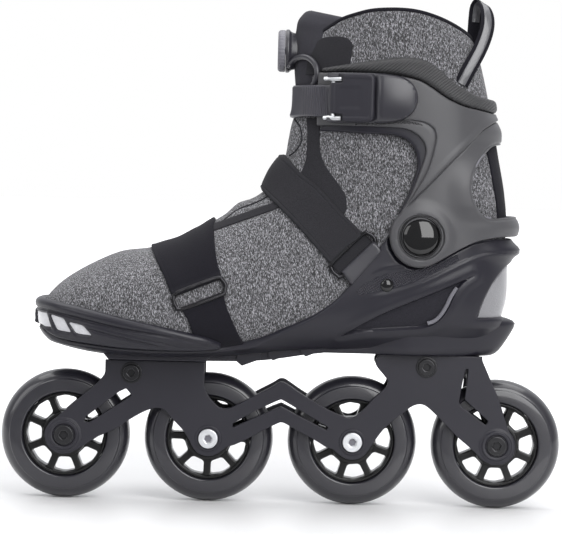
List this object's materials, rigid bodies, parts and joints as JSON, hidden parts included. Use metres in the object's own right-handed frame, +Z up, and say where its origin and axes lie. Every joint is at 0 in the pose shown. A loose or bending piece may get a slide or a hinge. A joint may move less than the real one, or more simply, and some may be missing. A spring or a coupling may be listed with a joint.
{
  "type": "inline skate",
  "caption": "Inline skate with a soft boot in a moulded shell, a pivoting ankle cuff with a buckle, foot straps, a lacing dial and large wheels in one line.",
  "frame": {"origin": "on the ground under the middle of the wheel line", "axes": "+X from toe to heel along the wheels, +Y from the outer to the inner side of the foot, +Z up"},
  "size_m": [0.3644, 0.114, 0.3313],
  "materials": {
    "heather_knit": "matte",
    "lining": "matte",
    "webbing": "matte",
    "shell_plastic": "satin",
    "cuff_plastic": "satin",
    "trim_rubber": "matte",
    "strap_plastic": "satin",
    "gloss_black": "gloss",
    "frame_black": "satin",
    "black_steel": "satin",
    "bright_steel": "satin",
    "urethane": "satin",
    "hub_nylon": "satin",
    "reflector": "satin",
    "dial_grey": "satin"
  },
  "bodies": {
    "chassis": {"frame_plate_outer": "frame_black", "frame_plate_inner": "frame_black", "mount_block_front": "frame_black", "mount_block_rear": "frame_black", "cross_bolt_front": "black_steel", "cross_bolt_rear": "black_steel", "sole_bolt_front": "black_steel", "sole_bolt_rear": "black_steel", "sole_shell": "shell_plastic", "toe_bumper": "shell_plastic", "toe_reflector": "reflector", "heel_reflector": "reflector", "insole": "lining", "foot_upper": "heather_knit", "forefoot_strap": "webbing", "forefoot_anchor": "webbing", "forefoot_ring": "black_steel", "instep_strap": "webbing", "instep_anchor": "webbing", "instep_ring": "black_steel", "pivot_screw_outer": "gloss_black", "pivot_screw_inner": "gloss_black", "axle_1": "black_steel", "axle_2": "bright_steel", "axle_3": "bright_steel", "axle_4": "black_steel"},
    "cuff_body": {"cuff": "cuff_plastic", "cuff_trim": "trim_rubber", "ankle_upper": "heather_knit", "tongue": "heather_knit", "ladder_strap": "strap_plastic", "buckle_base": "shell_plastic", "lever_pin": "bright_steel", "dial_base": "strap_plastic", "pull_loop": "webbing"},
    "lever_body": {"buckle_lever": "cuff_plastic"},
    "spool_body": {"dial_spool": "shell_plastic"},
    "knob_body": {"dial_knob": "dial_grey"},
    "wheel_1_body": {"tyre_1": "urethane", "hub_1": "hub_nylon", "bearing_outer_side_1": "bright_steel", "bearing_inner_side_1": "bright_steel"},
    "wheel_2_body": {"tyre_2": "urethane", "hub_2": "hub_nylon", "bearing_outer_side_2": "bright_steel", "bearing_inner_side_2": "bright_steel"},
    "wheel_3_body": {"tyre_3": "urethane", "hub_3": "hub_nylon", "bearing_outer_side_3": "bright_steel", "bearing_inner_side_3": "bright_steel"},
    "wheel_4_body": {"tyre_4": "urethane", "hub_4": "hub_nylon", "bearing_outer_side_4": "bright_steel", "bearing_inner_side_4": "bright_steel"}
  },
  "joints": [
    {"name": "cuff_flex", "type": "hinge", "parent": "chassis", "child": "cuff_body", "pos_m": [0.086, 0, 0.177], "axis": [0, -1, 0], "range_deg": [0, 10]},
    {"name": "buckle_lever", "type": "hinge", "parent": "cuff_body", "child": "lever_body", "pos_m": [0.028, -0.0498, 0.264], "axis": [0, 0, -1], "range_deg": [0, 100]},
    {"name": "dial_turn", "type": "hinge", "parent": "cuff_body", "child": "spool_body", "pos_m": [0, 0, 0.2944], "axis": [-1, 0, 0], "continuous": true},
    {"name": "dial_pull", "type": "slide", "parent": "spool_body", "child": "knob_body", "axis": [-1, 0, 0], "range_m": [0, 0.002]},
    {"name": "wheel_1_spin", "type": "hinge", "parent": "chassis", "child": "wheel_1_body", "pos_m": [-0.14025, 0, 0.042], "axis": [0, 1, 0], "continuous": true},
    {"name": "wheel_2_spin", "type": "hinge", "parent": "chassis", "child": "wheel_2_body", "pos_m": [-0.04675, 0, 0.042], "axis": [0, 1, 0], "continuous": true},
    {"name": "wheel_3_spin", "type": "hinge", "parent": "chassis", "child": "wheel_3_body", "pos_m": [0.04675, 0, 0.042], "axis": [0, 1, 0], "continuous": true},
    {"name": "wheel_4_spin", "type": "hinge", "parent": "chassis", "child": "wheel_4_body", "pos_m": [0.14025, 0, 0.042], "axis": [0, 1, 0], "continuous": true}
  ]
}
